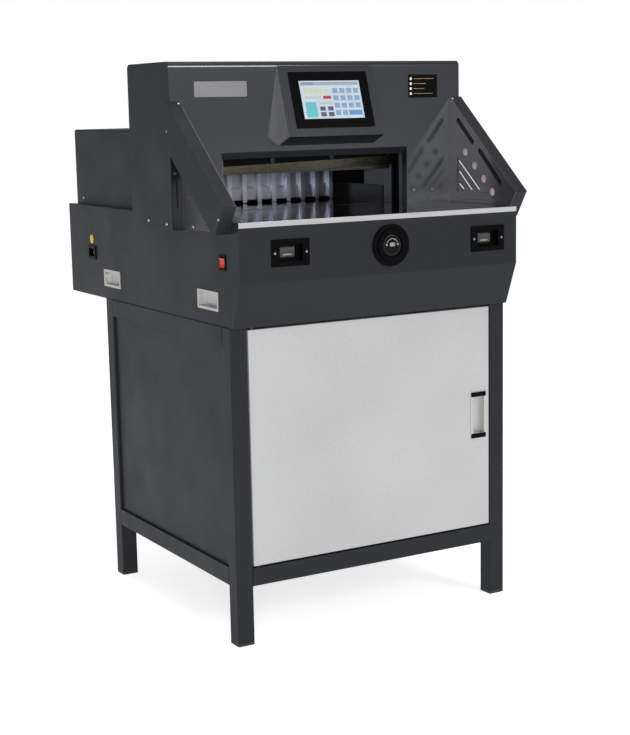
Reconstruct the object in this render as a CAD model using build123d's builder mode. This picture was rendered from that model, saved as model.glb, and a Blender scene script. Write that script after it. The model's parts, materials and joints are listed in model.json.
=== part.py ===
from build123d import *
import math
import os

# Program-controlled guillotine paper cutter on a cabinet stand. Millimetres, +X right, +Y back, +Z up.
# The pieces are drawn with Y = 0 a little in front of the head's rear face. save() then moves them
# along Y, so that in the files the origin is on the floor, in the middle of the machine's footprint.

os.makedirs("parts", exist_ok=True)

# ---------------------------------------------------------------- driving dimensions
SHEET = 2.0                      # folded sheet steel of every cover
RUN = 0.05                       # radial clearance of a running fit

LEG_SIZE = 40.0                  # square tube of the stand
LEG_OUTER_X = 358.0
LEG_FRONT_Y = -413.0
LEG_BACK_Y = 261.0
FOOT_HEIGHT = 6.0
LOWER_RAIL_Z = 132.0
CASING_BOTTOM_Z = 701.0

CASING_X = 356.0
CASING_FRONT_Y = -463.0
CASING_BACK_Y = 487.0
CHIN_BEND_Z = 797.0
CHIN_FOOT_Y = -425.0
TABLE_Z = 926.0
TABLE_THICK = 11.0

HEAD_X = 383.5
HEAD_FRONT_Y = -201.0
HEAD_BACK_Y = 15.5
HEAD_TOP_Z = 1261.0
HEAD_SKIRT_Z = 897.0
LIP_Z = 1062.0
ROUNDING = 12.0

THROAT_X = 245.0                 # half of the 490 mm cutting width
FRAME_THICK = 20.0
PILLAR_LEFT_X = -258.5           # the covers' opening is wider on the side the knife moves to
PILLAR_RIGHT_X = 232.0

KNIFE_Y = -110.0                 # rear, cutting face of the blade
BLADE_THICK = 12.0
BEVEL_HEIGHT = 21.6
EDGE_Z = 1012.2                  # height of the cutting edge at X = 0, knife up
SWING = 1.367                    # degrees that the raised blade hangs out of level
SLANT = 16.0                     # degrees between the knife's path and the vertical
CLAMP_OPEN_Z = 1008.0

GUARD_IN_X = 357.0
GUARD_OUT_X = 389.6
GUARD_TOP = (HEAD_FRONT_Y, 1176.0)
GUARD_NOSE = (-459.0, 959.0)
GUARD_FOOT = (-422.0, 901.0)

REAR_BOX_X = 333.0
REAR_BOX_TOP_Z = 1113.0
CONTROL_Z = 858.6                # centre line of the dial and the buttons
DIAL_X = 14.0
DIAL_RADIUS = 46.0
WHEEL_RADIUS = 36.0
DIAL_REACH = 9.0                 # how far the dial stands out of the front panel

DOOR_GAP = 3.0
DOOR_BOTTOM_Z = 176.0
DOOR_TOP_Z = 695.0
HINGE_INSET_X = 13.0
HINGE_INSET_Y = 8.0
HINGE_PIN_RADIUS = 3.0
STOP_RAIL_DEPTH = 13.0           # the rail behind the door's top edge, clear of the door's turning corner

# ---------------------------------------------------------------- derived dimensions
LEG_INNER_X = LEG_OUTER_X - LEG_SIZE
LEG_CENTRE_X = LEG_OUTER_X - LEG_SIZE / 2
LEG_CENTRES_Y = (LEG_FRONT_Y + LEG_SIZE / 2, LEG_BACK_Y - LEG_SIZE / 2)
BAY_FRONT_Y = LEG_FRONT_Y + LEG_SIZE
BAY_BACK_Y = LEG_BACK_Y - LEG_SIZE
LOWER_RAIL_TOP_Z = LOWER_RAIL_Z + LEG_SIZE
DOOR_X = LEG_INNER_X - DOOR_GAP
HINGE_X = -DOOR_X + HINGE_INSET_X
HINGE_Y = LEG_FRONT_Y + HINGE_INSET_Y
FRAME_OUT_X = THROAT_X + FRAME_THICK
BLADE_FRONT_Y = KNIFE_Y - BLADE_THICK
CARRIER_THICK = 20.0
CARRIER_FRONT_Y = BLADE_FRONT_Y - CARRIER_THICK
BLOCK_CENTRE_Z = 1190.0
ORIGIN_SHIFT_Y = -(CASING_BACK_Y + CASING_FRONT_Y - DIAL_REACH) / 2
SLIDE_RIGHT = math.sin(math.radians(SLANT))
SLIDE_UP = math.cos(math.radians(SLANT))

SLANTED = Plane(
    origin=(0, 0, BLOCK_CENTRE_Z),
    x_dir=(SLIDE_UP, 0, -SLIDE_RIGHT),
    z_dir=(0, -1, 0),
)                                # faces the front; its Y axis runs up the knife's path
BLADE_PLANE = Plane(
    origin=(0, 0, EDGE_Z),
    x_dir=(math.cos(math.radians(SWING)), 0, math.sin(math.radians(SWING))),
    z_dir=(0, -1, 0),
)                                # faces the front; its X axis lies along the raised cutting edge


# ---------------------------------------------------------------- helpers
def save(builder, label):
    """Moves a finished piece to the machine's origin, names it and writes it as its own STEP file."""
    piece = builder.part.moved(Location((0, ORIGIN_SHIFT_Y, 0)))
    piece.label = label
    export_step(piece, f"parts/{label}.step")


def block(low, high, mode=Mode.ADD):
    """A box between two corners, in the open part context."""
    size = [high[i] - low[i] for i in range(3)]
    centre = [(high[i] + low[i]) / 2 for i in range(3)]
    with Locations(tuple(centre)):
        Box(*size, mode=mode)


def bar(start, end, radius, mode=Mode.ADD):
    """A round bar between two points, in the open part context."""
    axis = Vector(*end) - Vector(*start)
    with BuildSketch(Plane(origin=start, z_dir=axis)) as section:
        Circle(radius)
    extrude(section.sketch, amount=axis.length, mode=mode)


def side_plate(outline, x_low, x_high, mode=Mode.ADD):
    """A plate with a (Y, Z) outline, between two X values, in the open part context."""
    with BuildSketch(Plane.YZ.offset(x_low)) as section:
        with BuildLine():
            Polyline(*outline, close=True)
        make_face()
    extrude(section.sketch, amount=x_high - x_low, mode=mode)


def folded_strip(path, x_low, x_high, bend):
    """Sheet steel folded along a (Y, Z) path; the steel lies to the right of the path."""
    with BuildSketch(Plane.YZ.offset(x_low)) as section:
        with BuildLine():
            FilletPolyline(*path, radius=bend)
            offset(amount=SHEET, side=Side.RIGHT)
        make_face()
    extrude(section.sketch, amount=x_high - x_low)


def screw_heads(spots, radius=4.0, height=2.0):
    """Dome screws: each spot is the point where the head meets the sheet, and the way it faces."""
    for point, facing in spots:
        with BuildSketch(Plane(origin=point, z_dir=facing)) as seat:
            Circle(radius)
        extrude(seat.sketch, amount=height, taper=25)


def hinge_bar(low_z, high_z, radius, mode=Mode.ADD):
    """A round bar or bore on the door's hinge line."""
    bar((HINGE_X, HINGE_Y, low_z), (HINGE_X, HINGE_Y, high_z), radius, mode=mode)


def dial_bore(front_y, back_y, radius):
    """A hole on the dial's axis."""
    bar((DIAL_X, front_y, CONTROL_Z), (DIAL_X, back_y, CONTROL_Z), radius, mode=Mode.SUBTRACT)


# ---------------------------------------------------------------- stand
def make_stand_legs():
    with BuildPart() as legs:
        for centre_y in LEG_CENTRES_Y:
            for centre_x in (-LEG_CENTRE_X, LEG_CENTRE_X):
                with BuildSketch(Plane.XY.offset(FOOT_HEIGHT)):
                    with Locations((centre_x, centre_y)):
                        RectangleRounded(LEG_SIZE, LEG_SIZE, 3)
                        RectangleRounded(LEG_SIZE - 2 * SHEET, LEG_SIZE - 2 * SHEET, 1, mode=Mode.SUBTRACT)
                extrude(amount=CASING_BOTTOM_Z - FOOT_HEIGHT)
    save(legs, "stand_legs")


def make_leg_feet():
    plug = LEG_SIZE - 2 * SHEET - 1
    with BuildPart() as feet:
        for centre_y in LEG_CENTRES_Y:
            for centre_x in (-LEG_CENTRE_X, LEG_CENTRE_X):
                with BuildSketch():
                    with Locations((centre_x, centre_y)):
                        RectangleRounded(LEG_SIZE, LEG_SIZE, 3)
                extrude(amount=FOOT_HEIGHT)
                with BuildSketch(Plane.XY.offset(FOOT_HEIGHT)):
                    with Locations((centre_x, centre_y)):
                        RectangleRounded(plug, plug, 1.5)
                extrude(amount=22)
    save(feet, "leg_feet")


def rail(low, high, along):
    """A square tube between two corners, open at both ends along the axis with the given index."""
    block(low, high)
    inner_low = [low[i] + (0 if i == along else SHEET) for i in range(3)]
    inner_high = [high[i] - (0 if i == along else SHEET) for i in range(3)]
    block(inner_low, inner_high, mode=Mode.SUBTRACT)


def make_stand_rails():
    top = CASING_BOTTOM_Z
    with BuildPart() as rails:
        rail((-LEG_INNER_X, LEG_FRONT_Y, LOWER_RAIL_Z), (LEG_INNER_X, BAY_FRONT_Y, LOWER_RAIL_TOP_Z), 0)
        rail((-LEG_INNER_X, BAY_BACK_Y, LOWER_RAIL_Z), (LEG_INNER_X, LEG_BACK_Y, LOWER_RAIL_TOP_Z), 0)
        rail((-LEG_INNER_X, BAY_FRONT_Y - STOP_RAIL_DEPTH, top - 30), (LEG_INNER_X, BAY_FRONT_Y, top), 0)
        rail((-LEG_INNER_X, BAY_BACK_Y, top - LEG_SIZE), (LEG_INNER_X, LEG_BACK_Y, top), 0)
        for low_x in (-LEG_OUTER_X, LEG_INNER_X):
            rail((low_x, BAY_FRONT_Y, LOWER_RAIL_Z), (low_x + LEG_SIZE, BAY_BACK_Y, LOWER_RAIL_TOP_Z), 1)
            rail((low_x, BAY_FRONT_Y, top - LEG_SIZE), (low_x + LEG_SIZE, BAY_BACK_Y, top), 1)
        hinge_bar(LOWER_RAIL_TOP_Z - SHEET, LOWER_RAIL_TOP_Z, HINGE_PIN_RADIUS, mode=Mode.SUBTRACT)
    save(rails, "stand_rails")


def make_cabinet_panels():
    panel_x = LEG_OUTER_X - 6
    panel_top_z = CASING_BOTTOM_Z - LEG_SIZE
    with BuildPart() as panels:
        for low_x in (-panel_x, panel_x - SHEET):
            block((low_x, BAY_FRONT_Y, LOWER_RAIL_TOP_Z), (low_x + SHEET, BAY_BACK_Y, panel_top_z))
        block((-LEG_INNER_X, LEG_BACK_Y - 8, LOWER_RAIL_TOP_Z), (LEG_INNER_X, LEG_BACK_Y - 6, panel_top_z))
    save(panels, "cabinet_panels")
    with BuildPart() as floor:
        block(
            (-LEG_INNER_X, BAY_FRONT_Y, LOWER_RAIL_TOP_Z - SHEET),
            (LEG_INNER_X, BAY_BACK_Y, LOWER_RAIL_TOP_Z),
        )
    save(floor, "cabinet_floor")


# ---------------------------------------------------------------- door
HANDLE_X = (263.0, 305.5)
HANDLE_Z = (387.0, 497.0)
HANDLE_DEPTH = 17.0
HANDLE_CAP = 12.0
SLEEVE_LENGTH = 52.0
PIN_REACH = 42.0


def make_door():
    """The door pan, with its two hinge sleeves welded inside the fold of its left edge."""
    with BuildPart() as door:
        block((-DOOR_X, LEG_FRONT_Y, DOOR_BOTTOM_Z), (DOOR_X, LEG_FRONT_Y + 20, DOOR_TOP_Z))
        fillet(door.faces().sort_by(Axis.Y)[0].edges(), radius=1.5)
        block(
            (-DOOR_X + SHEET, LEG_FRONT_Y + SHEET, DOOR_BOTTOM_Z + SHEET),
            (DOOR_X - SHEET, LEG_FRONT_Y + 20, DOOR_TOP_Z - SHEET),
            mode=Mode.SUBTRACT,
        )
        block(
            (HANDLE_X[0] + 2, LEG_FRONT_Y, HANDLE_Z[0] + 2),
            (HANDLE_X[1] - 2, LEG_FRONT_Y + SHEET, HANDLE_Z[1] - 2),
            mode=Mode.SUBTRACT,
        )
        for low_z in (DOOR_BOTTOM_Z, DOOR_TOP_Z - SLEEVE_LENGTH):
            hinge_bar(low_z, low_z + SLEEVE_LENGTH, 6.3)
            hinge_bar(low_z, low_z + SLEEVE_LENGTH, HINGE_PIN_RADIUS + RUN, mode=Mode.SUBTRACT)
    save(door, "cabinet_door")


def make_door_handle():
    with BuildPart() as cup:
        block((HANDLE_X[0], LEG_FRONT_Y - 1.5, HANDLE_Z[0]), (HANDLE_X[1], LEG_FRONT_Y, HANDLE_Z[1]))
        block(
            (HANDLE_X[0] + 2, LEG_FRONT_Y, HANDLE_Z[0] + 2),
            (HANDLE_X[1] - 2, LEG_FRONT_Y + HANDLE_DEPTH, HANDLE_Z[1] - 2),
        )
        block(
            (HANDLE_X[0] + 5, LEG_FRONT_Y - 1.5, HANDLE_Z[0] + HANDLE_CAP),
            (HANDLE_X[1] - 5, LEG_FRONT_Y + HANDLE_DEPTH - 2, HANDLE_Z[1] - HANDLE_CAP),
            mode=Mode.SUBTRACT,
        )
    save(cup, "door_handle")


def make_door_hinges():
    with BuildPart() as pins:
        hinge_bar(LOWER_RAIL_TOP_Z - SHEET, DOOR_BOTTOM_Z + PIN_REACH, HINGE_PIN_RADIUS)
        hinge_bar(LOWER_RAIL_TOP_Z, DOOR_BOTTOM_Z - 0.2, 6)
        hinge_bar(DOOR_TOP_Z - PIN_REACH, CASING_BOTTOM_Z + SHEET, HINGE_PIN_RADIUS)
        hinge_bar(DOOR_TOP_Z + 1, CASING_BOTTOM_Z, 6)
    save(pins, "door_hinge_pins")
    with BuildPart() as magnet:
        block((270, BAY_FRONT_Y - 19.5, 676), (300, BAY_FRONT_Y - STOP_RAIL_DEPTH, 690))
    save(magnet, "door_magnet")


# ---------------------------------------------------------------- lower casing
PULL_CENTRES_Y = (-310.0, 218.0)
PULL_Z = 753.0
PULL_LENGTH = 100.0
PULL_HEIGHT = 42.0
SWITCH_CENTRE = (-386.0, 839.0)
SWITCH_SIZE = (30.0, 34.0)
INLET_CENTRE = (340.0, 810.0)
INLET_SIZE = (48.0, 34.0)
BUTTON_CENTRES_X = (-236.0, 274.0)
BUTTON_PLATE = (91.0, 57.5)
BUTTON_BOX = (70.0, 48.0)


def casing_outline():
    return [
        (CASING_FRONT_Y, TABLE_Z - TABLE_THICK),
        (CASING_FRONT_Y + 8, TABLE_Z - TABLE_THICK),
        (CASING_FRONT_Y + 8, TABLE_Z),
        (CASING_BACK_Y, TABLE_Z),
        (CASING_BACK_Y, CASING_BOTTOM_Z),
        (CHIN_FOOT_Y, CASING_BOTTOM_Z),
        (CASING_FRONT_Y, CHIN_BEND_Z),
    ]


def window(centre, size, x_low, x_high):
    """Cuts a rectangular hole through a side sheet, around a (Y, Z) centre."""
    block(
        (x_low, centre[0] - size[0] / 2, centre[1] - size[1] / 2),
        (x_high, centre[0] + size[0] / 2, centre[1] + size[1] / 2),
        mode=Mode.SUBTRACT,
    )


def make_casing_sides():
    for name, side in (("casing_left_side", -1), ("casing_right_side", 1)):
        low_x = min(side * CASING_X, side * (CASING_X - SHEET))
        high_x = low_x + SHEET
        with BuildPart() as sheet:
            side_plate(casing_outline(), low_x, high_x)
            for centre_y in PULL_CENTRES_Y:
                window((centre_y, PULL_Z), (PULL_LENGTH - 6, PULL_HEIGHT - 6), low_x, high_x)
            if side < 0:
                window(SWITCH_CENTRE, (SWITCH_SIZE[0] - 4, SWITCH_SIZE[1] - 4), low_x, high_x)
                window(INLET_CENTRE, (INLET_SIZE[0] - 8, INLET_SIZE[1] - 8), low_x, high_x)
        save(sheet, name)


def make_casing_front():
    inner_x = CASING_X - SHEET
    path = [
        (CHIN_FOOT_Y, CASING_BOTTOM_Z),
        (CASING_FRONT_Y, CHIN_BEND_Z),
        (CASING_FRONT_Y, TABLE_Z - TABLE_THICK),
    ]
    with BuildPart() as sheet:
        folded_strip(path, -inner_x, inner_x, 4)
        for centre_x in BUTTON_CENTRES_X:
            block(
                (centre_x - BUTTON_BOX[0] / 2, CASING_FRONT_Y - 1, CONTROL_Z - BUTTON_BOX[1] / 2),
                (centre_x + BUTTON_BOX[0] / 2, CASING_FRONT_Y + 10, CONTROL_Z + BUTTON_BOX[1] / 2),
                mode=Mode.SUBTRACT,
            )
        dial_bore(CASING_FRONT_Y - 1, CASING_FRONT_Y + 10, 12)
    save(sheet, "casing_front_panel")


def make_casing_base_and_rear():
    inner_x = CASING_X - SHEET
    with BuildPart() as pan:
        block((-inner_x, CHIN_FOOT_Y + 3, CASING_BOTTOM_Z), (inner_x, CASING_BACK_Y, CASING_BOTTOM_Z + SHEET))
        hinge_bar(CASING_BOTTOM_Z, CASING_BOTTOM_Z + SHEET, HINGE_PIN_RADIUS, mode=Mode.SUBTRACT)
    save(pan, "casing_base_pan")

    with BuildPart() as rear:
        block((-inner_x, CASING_BACK_Y - SHEET, CASING_BOTTOM_Z + SHEET), (inner_x, CASING_BACK_Y, TABLE_Z))
        with BuildSketch(Plane.XZ.offset(-CASING_BACK_Y)):
            for centre_x in (-190, 190):
                with Locations((centre_x, 800)):
                    with GridLocations(12, 50, 12, 2):
                        SlotOverall(40, 4, rotation=90)
        extrude(amount=SHEET, mode=Mode.SUBTRACT)
    save(rear, "casing_rear_panel")


def make_lifting_pulls():
    depth = 16.0
    with BuildPart() as pulls:
        for side in (-1, 1):
            rim_out = side * (CASING_X + 1.5)
            face = side * CASING_X
            back = side * (CASING_X - depth)
            floor = side * (CASING_X - depth + SHEET)
            for centre_y in PULL_CENTRES_Y:
                low = (centre_y - PULL_LENGTH / 2, PULL_Z - PULL_HEIGHT / 2)
                high = (centre_y + PULL_LENGTH / 2, PULL_Z + PULL_HEIGHT / 2)
                block((min(rim_out, face), low[0], low[1]), (max(rim_out, face), high[0], high[1]))
                block((min(face, back), low[0] + 3, low[1] + 3), (max(face, back), high[0] - 3, high[1] - 3))
                block(
                    (min(rim_out, floor), low[0] + 6, low[1] + 6),
                    (max(rim_out, floor), high[0] - 6, high[1] - 6),
                    mode=Mode.SUBTRACT,
                )
    save(pulls, "lifting_pulls")


def rocker_bar(radius, mode=Mode.ADD):
    """The rocker's pivot pin, or the bore for it."""
    reach = SWITCH_SIZE[0] / 2 - 2.5
    centre_y, centre_z = SWITCH_CENTRE
    pivot_x = 9 - CASING_X
    bar((pivot_x, centre_y - reach, centre_z), (pivot_x, centre_y + reach, centre_z), radius, mode=mode)


def make_power_fittings():
    face = -CASING_X
    centre_y, centre_z = SWITCH_CENTRE
    half_y, half_z = SWITCH_SIZE[0] / 2, SWITCH_SIZE[1] / 2
    with BuildPart() as frame:
        block((face - 2, centre_y - half_y, centre_z - half_z), (face, centre_y + half_y, centre_z + half_z))
        block(
            (face, centre_y - half_y + 2, centre_z - half_z + 2),
            (face + 22, centre_y + half_y - 2, centre_z + half_z - 2),
        )
        block(
            (face - 2, centre_y - half_y + 4, centre_z - half_z + 4),
            (face + 18, centre_y + half_y - 4, centre_z + half_z - 4),
            mode=Mode.SUBTRACT,
        )
        rocker_bar(2 + RUN, mode=Mode.SUBTRACT)
    save(frame, "power_switch_frame")
    # The rocker tilts on a pin 9 mm behind the face, held in the frame's two walls, 0.5 mm clear of them.
    with BuildPart() as rocker:
        with BuildSketch(Plane.XZ.offset(-(centre_y + half_y - 4.5))):
            with BuildLine():
                outer_top = (face - 3.5, centre_z + 10)
                outer_foot = (face - 3.5, centre_z - 10)
                ThreePointArc(outer_foot, (face - 2.2, centre_z), outer_top)
                Polyline(outer_top, (face + 9, centre_z + 4), (face + 9, centre_z - 4), outer_foot)
            make_face()
        extrude(amount=SWITCH_SIZE[0] - 9)
        rocker_bar(2)
    save(rocker, "power_rocker")

    centre_y, centre_z = INLET_CENTRE
    half_y, half_z = INLET_SIZE[0] / 2, INLET_SIZE[1] / 2
    with BuildPart() as inlet:
        block((face - 3, centre_y - half_y, centre_z - half_z), (face, centre_y + half_y, centre_z + half_z))
        block(
            (face, centre_y - half_y + 4, centre_z - half_z + 4),
            (face + 26, centre_y + half_y - 4, centre_z + half_z - 4),
        )
        block(
            (face - 3, centre_y - half_y + 9, centre_z - half_z + 7),
            (face + 20, centre_y + half_y - 9, centre_z + half_z - 7),
            mode=Mode.SUBTRACT,
        )
    save(inlet, "power_inlet")


# ---------------------------------------------------------------- front controls
BUTTON_SIZE = (39.0, 23.5)
BUTTON_FACE_Y = CASING_FRONT_Y + 13
BUTTON_GAP = 0.3


def make_cut_buttons():
    half_x, half_z = BUTTON_SIZE[0] / 2, BUTTON_SIZE[1] / 2
    with BuildPart() as housings:
        for centre_x in BUTTON_CENTRES_X:
            with BuildSketch(Plane.XZ.offset(-CASING_FRONT_Y)) as plate:
                with Locations((centre_x, CONTROL_Z)):
                    RectangleRounded(*BUTTON_PLATE, 3)
            extrude(plate.sketch, amount=2.5)
            block(
                (centre_x - BUTTON_BOX[0] / 2, CASING_FRONT_Y, CONTROL_Z - BUTTON_BOX[1] / 2),
                (centre_x + BUTTON_BOX[0] / 2, CASING_FRONT_Y + 28, CONTROL_Z + BUTTON_BOX[1] / 2),
            )
            block(
                (centre_x - 29, CASING_FRONT_Y - 2.5, CONTROL_Z - 18),
                (centre_x + 29, CASING_FRONT_Y + 9, CONTROL_Z + 18),
                mode=Mode.SUBTRACT,
            )
            block(
                (centre_x - half_x - BUTTON_GAP, CASING_FRONT_Y, CONTROL_Z - half_z - BUTTON_GAP),
                (centre_x + half_x + BUTTON_GAP, CASING_FRONT_Y + 26, CONTROL_Z + half_z + BUTTON_GAP),
                mode=Mode.SUBTRACT,
            )
    save(housings, "button_housings")
    for name, centre_x in zip(("left", "right"), BUTTON_CENTRES_X):
        with BuildPart() as button:
            block(
                (centre_x - half_x, BUTTON_FACE_Y, CONTROL_Z - half_z),
                (centre_x + half_x, BUTTON_FACE_Y + 7.5, CONTROL_Z + half_z),
            )
            chamfer(button.faces().sort_by(Axis.Y)[0].edges(), length=2)
        save(button, f"{name}_cut_button")


def make_dial():
    """A thin wheel turning in a shallow well in its round flange."""
    face = Plane(origin=(DIAL_X, CASING_FRONT_Y, CONTROL_Z), z_dir=(0, -1, 0), x_dir=(1, 0, 0))
    with BuildPart() as flange:
        with BuildSketch(face):
            Circle(DIAL_RADIUS)
        extrude(amount=6)
        fillet(flange.faces().sort_by(Axis.Y)[0].edges(), radius=2)
        with BuildSketch(face.offset(2.5)):
            Circle(WHEEL_RADIUS + 1)
        extrude(amount=6, mode=Mode.SUBTRACT)
        with BuildSketch(face):
            Circle(11.9)
        extrude(amount=-14)
        dial_bore(CASING_FRONT_Y - 8, CASING_FRONT_Y + 15, 4 + RUN)
    save(flange, "dial_flange")
    with BuildPart() as wheel:
        with BuildSketch(face.offset(3)):
            Circle(WHEEL_RADIUS)
        extrude(amount=DIAL_REACH - 3)
        fillet(wheel.faces().sort_by(Axis.Y)[0].edges(), radius=1.5)
        with BuildSketch(face.offset(DIAL_REACH)):
            Circle(WHEEL_RADIUS - 10)
        extrude(amount=-4, mode=Mode.SUBTRACT)
        with BuildSketch(face.offset(DIAL_REACH)):
            with Locations((-17, 25.5)):
                Circle(4)
        extrude(amount=-2, mode=Mode.SUBTRACT)
        with BuildSketch(face.offset(3)):
            with PolarLocations(WHEEL_RADIUS + 1, 40):
                Circle(1.6)
        extrude(amount=DIAL_REACH, mode=Mode.SUBTRACT)
        with BuildSketch(face.offset(3)):
            Circle(4)
        extrude(amount=-21.5)
    save(wheel, "dial_wheel")


# ---------------------------------------------------------------- table
STICK_Y = (-121.0, -107.0)
STICK_X = 250.0
STICK_DEPTH = 8.0


def make_table():
    inner_x = CASING_X - SHEET
    low_z = TABLE_Z - TABLE_THICK
    stick_low = (-STICK_X, STICK_Y[0], TABLE_Z - STICK_DEPTH)
    stick_high = (STICK_X, STICK_Y[1], TABLE_Z)
    with BuildPart() as plate:
        block((-inner_x, CASING_FRONT_Y, low_z), (inner_x, CASING_BACK_Y - SHEET, TABLE_Z))
        block((-CASING_X, CASING_FRONT_Y, low_z), (CASING_X, CASING_FRONT_Y + 8, TABLE_Z))
        block(stick_low, stick_high, mode=Mode.SUBTRACT)
    save(plate, "table_plate")
    with BuildPart() as stick:
        block(stick_low, stick_high)
    save(stick, "cutting_stick")
    with BuildPart() as beams:
        for low_x in (-320, 280):
            rail((low_x, -425, low_z - 40), (low_x + 40, 440, low_z), 1)
            for low_y in (-400, 180):
                rail((low_x, low_y, CASING_BOTTOM_Z + SHEET), (low_x + 40, low_y + 40, low_z - 40), 2)
    save(beams, "table_beams")


# ---------------------------------------------------------------- head structure
FRAME_TOP_Z = 1240.0
FRONT_POST_Y = (-180.0, -146.0)
REAR_WALL_Y = (-82.0, 12.0)
TIE_PLATE_Y = (-192.0, -180.0)
CROSSBEAM_Y = (-14.0, 12.0)
GAUGE_AXIS_Z = 1030.0
GAUGE_ROD_X = 150.0
CLAMP_AXIS_Y = -96.0
CLAMP_ROD_X = 180.0
BRIDGE_Z = (1110.0, 1130.0)


def make_side_frames():
    """Each side has a rear wall and a front post; the knife and the clamp pass between them."""
    with BuildPart() as frames:
        for low_x in (-FRAME_OUT_X, THROAT_X):
            for y_low, y_high in (REAR_WALL_Y, FRONT_POST_Y):
                block((low_x, y_low, TABLE_Z), (low_x + FRAME_THICK, y_high, FRAME_TOP_Z))
    save(frames, "side_frames")


def make_crossbeams():
    with BuildPart() as beam:
        block((-THROAT_X, CROSSBEAM_Y[0], 1012), (THROAT_X, CROSSBEAM_Y[1], FRAME_TOP_Z))
        for centre_x in (-GAUGE_ROD_X, GAUGE_ROD_X):
            gauge_bar(centre_x, (-8, CROSSBEAM_Y[1]), 10, mode=Mode.SUBTRACT)
        gauge_bar(0, (-8.5, CROSSBEAM_Y[1]), 8 + RUN, mode=Mode.SUBTRACT)
    save(beam, "head_crossbeam")
    with BuildPart() as bridge:
        block((-THROAT_X, -118, BRIDGE_Z[0]), (THROAT_X, CROSSBEAM_Y[0], BRIDGE_Z[1]))
        for centre_x in (-CLAMP_ROD_X, CLAMP_ROD_X):
            clamp_bar(centre_x, BRIDGE_Z, 15, mode=Mode.SUBTRACT)
        clamp_bar(0, BRIDGE_Z, 12, mode=Mode.SUBTRACT)
    save(bridge, "clamp_bridge")


# ---------------------------------------------------------------- knife
RAIL_WIDTH = 30.0
RAIL_BACK_Y = -166.0
BLOCK_Y = (-178.0, -146.5)
BLOCK_SIZE = (80.0, 50.0)
SCREW_OFFSET = 27.5
SCREW_Y = -158.0
KNIFE_SCREW_RADIUS = 6.0
PIN_RADIUS = 8.0
BOSS_RADIUS = 20.0


def on_slant(across, up, y):
    """The point at this distance across and along the knife's path from the raised block's centre."""
    return (
        across * SLIDE_UP + up * SLIDE_RIGHT,
        y,
        BLOCK_CENTRE_Z - across * SLIDE_RIGHT + up * SLIDE_UP,
    )


def slanted_block(across, up, y_range, mode=Mode.ADD):
    """A box square to the knife's path, between two values across it, along it and in Y."""
    with BuildSketch(SLANTED.offset(-y_range[1])) as section:
        with Locations(((across[0] + across[1]) / 2, (up[0] + up[1]) / 2)):
            Rectangle(across[1] - across[0], up[1] - up[0])
    extrude(section.sketch, amount=y_range[1] - y_range[0], mode=mode)


def slanted_bore(low, high, radius):
    """A hole along the knife's path for the drive screw, in the open part context."""
    start = on_slant(SCREW_OFFSET, low, SCREW_Y)
    end = on_slant(SCREW_OFFSET, high, SCREW_Y)
    bar(start, end, radius, mode=Mode.SUBTRACT)


def make_knife_guide():
    """The tie plate across the front posts, with the slanted rail and the screw's foot bearing on it."""
    with BuildPart() as guide:
        block((-FRAME_OUT_X, TIE_PLATE_Y[0], LIP_Z + 1), (FRAME_OUT_X, TIE_PLATE_Y[1], FRAME_TOP_Z))
        slanted_block((-RAIL_WIDTH / 2, RAIL_WIDTH / 2), (-129, 40), (TIE_PLATE_Y[1], RAIL_BACK_Y))
        slanted_block((-RAIL_WIDTH / 2, 40), (-129, -117), (TIE_PLATE_Y[1], -146))
        slanted_bore(-129, -117, KNIFE_SCREW_RADIUS + RUN)
    save(guide, "knife_guide_plate")
    motor_start = on_slant(37, 40, -146)
    with BuildPart() as motor:
        slanted_block((16, 60), (30, 54), (TIE_PLATE_Y[1], -146))
        bar(motor_start, (motor_start[0], -40, motor_start[2]), 26)
        slanted_bore(30, 46.5, KNIFE_SCREW_RADIUS + RUN)
    save(motor, "knife_gear_motor")


def make_slide_block():
    half_x, half_z = BLOCK_SIZE[0] / 2, BLOCK_SIZE[1] / 2
    with BuildPart() as body:
        slanted_block((-half_x, half_x), (-half_z, half_z), BLOCK_Y)
        slanted_block(
            (-RAIL_WIDTH / 2 - RUN, RAIL_WIDTH / 2 + RUN),
            (-half_z, half_z),
            (BLOCK_Y[0], RAIL_BACK_Y + RUN),
            mode=Mode.SUBTRACT,
        )
        slanted_bore(-half_z, half_z, KNIFE_SCREW_RADIUS + RUN)
        bar((0, -150, BLOCK_CENTRE_Z), (0, BLOCK_Y[1], BLOCK_CENTRE_Z), PIN_RADIUS, mode=Mode.SUBTRACT)
    save(body, "knife_slide_block")
    with BuildPart() as pin:
        bar((0, -150, BLOCK_CENTRE_Z), (0, BLADE_FRONT_Y + 1, BLOCK_CENTRE_Z), PIN_RADIUS)
    save(pin, "knife_pivot_pin")
    with BuildPart() as screw:
        bar(on_slant(SCREW_OFFSET, -129, SCREW_Y), on_slant(SCREW_OFFSET, 46, SCREW_Y), KNIFE_SCREW_RADIUS)
    save(screw, "knife_drive_screw")


BLADE_X = (-243.0, 276.0)
BLADE_HEIGHT = 88.0
BOLT_X = (-100.0, 58.0, 216.0)
BOLT_UP = 29.0


def along_blade(x, up):
    """X and Z of a point given along and above the raised cutting edge."""
    lean = math.radians(SWING)
    return (
        x * math.cos(lean) - up * math.sin(lean),
        EDGE_Z + x * math.sin(lean) + up * math.cos(lean),
    )


def bolt_bar(x, y_start, y_end, radius, mode=Mode.ADD):
    """A round bar square to the blade, at one of its bolts."""
    bolt_x, bolt_z = along_blade(x, BOLT_UP)
    bar((bolt_x, y_start, bolt_z), (bolt_x, y_end, bolt_z), radius, mode=mode)


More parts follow.
